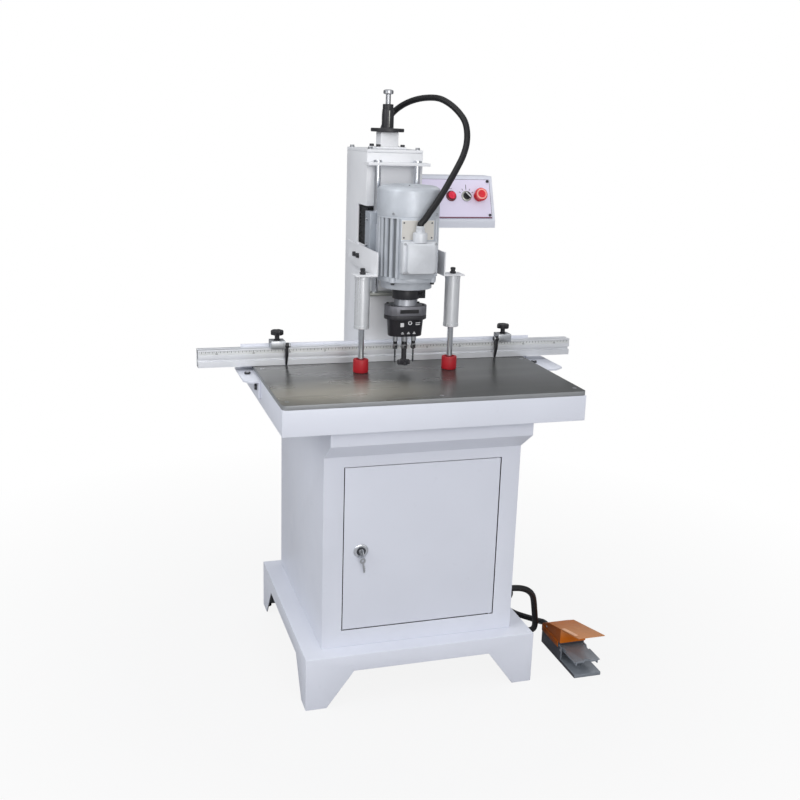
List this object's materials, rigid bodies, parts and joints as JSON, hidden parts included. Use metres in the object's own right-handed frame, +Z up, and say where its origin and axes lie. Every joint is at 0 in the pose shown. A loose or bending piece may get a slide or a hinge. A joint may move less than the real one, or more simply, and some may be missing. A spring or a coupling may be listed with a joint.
{
  "type": "vertical boring machine",
  "caption": "Floor-standing vertical boring machine for hinge cups: cabinet and plinth, table with fence and flip stops, column with a sliding drill head, pneumatic clamps, foot pedal.",
  "frame": {"origin": "centre of the machine's outline on the floor, measured without the pedal's cord", "axes": "+X along the fence to the machine's right side, +Y to the back, +Z up"},
  "size_m": [1.1, 0.706, 1.6049],
  "materials": {
    "white_paint": "pale grey-white powder coat, satin",
    "grey_plate": "mid-grey plate with a soft sheen",
    "aluminium": "satin anodised",
    "steel": "ground steel",
    "chrome": "polished",
    "grey_cast": "silver-grey enamel on castings",
    "black_metal": "black enamel",
    "black_plastic": "moulded, slightly glossy",
    "black_rubber": "matt sheath",
    "red_rubber": "matt moulded pad",
    "red_plastic": "glossy push button",
    "green_plastic": "glossy push button",
    "orange_paint": "orange enamel",
    "pedal_paint": "grey hammered enamel"
  },
  "bodies": {
    "frame": {"plinth": "white_paint", "cabinet": "white_paint", "table_frame": "white_paint", "table_top": "grey_plate", "fence_rail": "aluminium", "fence_beam": "white_paint", "fence_bracket_left": "white_paint", "fence_bracket_right": "white_paint", "column": "white_paint", "column_cap": "white_paint", "feed_cylinder": "white_paint", "guide_rod_left": "chrome", "guide_rod_right": "chrome", "rod_plate_upper": "white_paint", "rod_plate_lower": "steel", "clamp_bracket_left": "white_paint", "clamp_bracket_right": "white_paint", "clamp_cylinder_left": "aluminium", "clamp_cylinder_right": "aluminium", "control_box": "white_paint", "control_panel": "white_paint", "electrics_plate": "grey_cast", "cord_gland": "black_plastic", "pedal_cord": "black_rubber", "motor_conduit": "black_rubber", "pedal_base": "pedal_paint", "pedal_guard": "orange_paint"},
    "drill_head": {"carriage": "grey_cast", "motor_body": "grey_cast", "fan_cowl": "grey_cast", "motor_end_bell": "grey_cast", "terminal_box": "grey_cast", "clamp_ring": "black_plastic", "gearbox_cover": "aluminium", "gearbox_housing": "black_metal", "feed_rod": "steel"},
    "drive_shaft": {"motor_rotor": "steel", "spindle_centre": "steel", "hinge_bit": "black_metal"},
    "left_spindle": {"spindle_left": "steel"},
    "right_spindle": {"spindle_right": "steel"},
    "depth_adjuster": {"depth_stop": "black_plastic"},
    "left_clamp": {"clamp_rod_left": "chrome", "clamp_pad_left": "red_rubber"},
    "right_clamp": {"clamp_rod_right": "chrome", "clamp_pad_right": "red_rubber"},
    "door": {"cabinet_door": "white_paint", "door_lock": "chrome"},
    "key": {"door_key": "chrome"},
    "left_stop": {"stop_block_left": "aluminium"},
    "left_blade": {"stop_blade_left": "black_plastic"},
    "left_knob": {"stop_knob_left": "black_plastic"},
    "right_stop": {"stop_block_right": "aluminium"},
    "right_blade": {"stop_blade_right": "black_plastic"},
    "right_knob": {"stop_knob_right": "black_plastic"},
    "start": {"start_button": "green_plastic"},
    "stop": {"stop_button": "red_plastic"},
    "selector": {"selector_switch": "black_plastic"},
    "emergency": {"emergency_stop": "red_plastic"},
    "treadle": {"pedal_treadle": "pedal_paint"}
  },
  "joints": [
    {"name": "head_feed", "type": "slide", "parent": "frame", "child": "drill_head", "axis": [0, 0, 1], "range_m": [0, 0.06], "deforming": ["motor_conduit"]},
    {"name": "drive_spin", "type": "hinge", "parent": "drill_head", "child": "drive_shaft", "pos_m": [0, -0.033, 1.1], "axis": [0, 0, 1], "continuous": true},
    {"name": "left_spindle_spin", "type": "hinge", "parent": "drill_head", "child": "left_spindle", "pos_m": [-0.026, -0.033, 0.99], "axis": [0, 0, 1], "continuous": true},
    {"name": "right_spindle_spin", "type": "hinge", "parent": "drill_head", "child": "right_spindle", "pos_m": [0.026, -0.033, 0.99], "axis": [0, 0, 1], "continuous": true},
    {"name": "depth_stop_turn", "type": "hinge", "parent": "frame", "child": "depth_adjuster", "pos_m": [0, 0.186, 1.5], "axis": [0, 0, 1], "range_deg": [0, 330]},
    {"name": "left_clamp_press", "type": "slide", "parent": "frame", "child": "left_clamp", "axis": [0, 0, 1], "range_m": [0, 0.06]},
    {"name": "right_clamp_press", "type": "slide", "parent": "frame", "child": "right_clamp", "axis": [0, 0, 1], "range_m": [0, 0.06]},
    {"name": "door_hinge", "type": "hinge", "parent": "frame", "child": "door", "pos_m": [0.208, -0.243, 0.4275], "axis": [0, 0, 1], "range_deg": [0, 100]},
    {"name": "key_turn", "type": "hinge", "parent": "door", "child": "key", "pos_m": [-0.169, -0.24, 0.42293], "axis": [0, 1, 0], "range_deg": [0, 90]},
    {"name": "left_stop_slide", "type": "slide", "parent": "frame", "child": "left_stop", "axis": [1, 0, 0], "range_m": [-0.18, 0.13]},
    {"name": "left_blade_flip", "type": "hinge", "parent": "left_stop", "child": "left_blade", "pos_m": [-0.31, 0.054, 0.9176], "axis": [-1, 0, 0], "range_deg": [0, 150]},
    {"name": "left_knob_turn", "type": "hinge", "parent": "left_stop", "child": "left_knob", "pos_m": [-0.334, 0.068, 0.94], "axis": [0, 0, 1], "range_deg": [0, 180]},
    {"name": "right_stop_slide", "type": "slide", "parent": "frame", "child": "right_stop", "axis": [1, 0, 0], "range_m": [-0.13, 0.18]},
    {"name": "right_blade_flip", "type": "hinge", "parent": "right_stop", "child": "right_blade", "pos_m": [0.31, 0.054, 0.9176], "axis": [-1, 0, 0], "range_deg": [0, 150]},
    {"name": "right_knob_turn", "type": "hinge", "parent": "right_stop", "child": "right_knob", "pos_m": [0.334, 0.068, 0.94], "axis": [0, 0, 1], "range_deg": [0, 180]},
    {"name": "start_press", "type": "slide", "parent": "frame", "child": "start", "axis": [0, 0.9245, -0.3812], "range_m": [0, 0.0035], "stiffness_N_per_m": 400, "springref_m": -0.002},
    {"name": "stop_press", "type": "slide", "parent": "frame", "child": "stop", "axis": [0, 0.9245, -0.3812], "range_m": [0, 0.0035], "stiffness_N_per_m": 400, "springref_m": -0.002},
    {"name": "selector_turn", "type": "hinge", "parent": "frame", "child": "selector", "pos_m": [0.2343, 0.15744, 1.31728], "axis": [0, 0.9245, -0.3812], "range_deg": [0, 60]},
    {"name": "emergency_press", "type": "slide", "parent": "frame", "child": "emergency", "axis": [0, 0.9245, -0.3812], "range_m": [0, 0.005]},
    {"name": "treadle_press", "type": "hinge", "parent": "frame", "child": "treadle", "pos_m": [0.4935, -0.215, 0.039], "axis": [1, 0, 0], "range_deg": [0, 10], "stiffness_Nm_per_rad": 4, "springref_deg": -14.32}
  ],
  "couplings": [
    {"joint": "left_spindle_spin", "follows": "drive_spin", "ratio": -1},
    {"joint": "right_spindle_spin", "follows": "drive_spin", "ratio": -1}
  ]
}
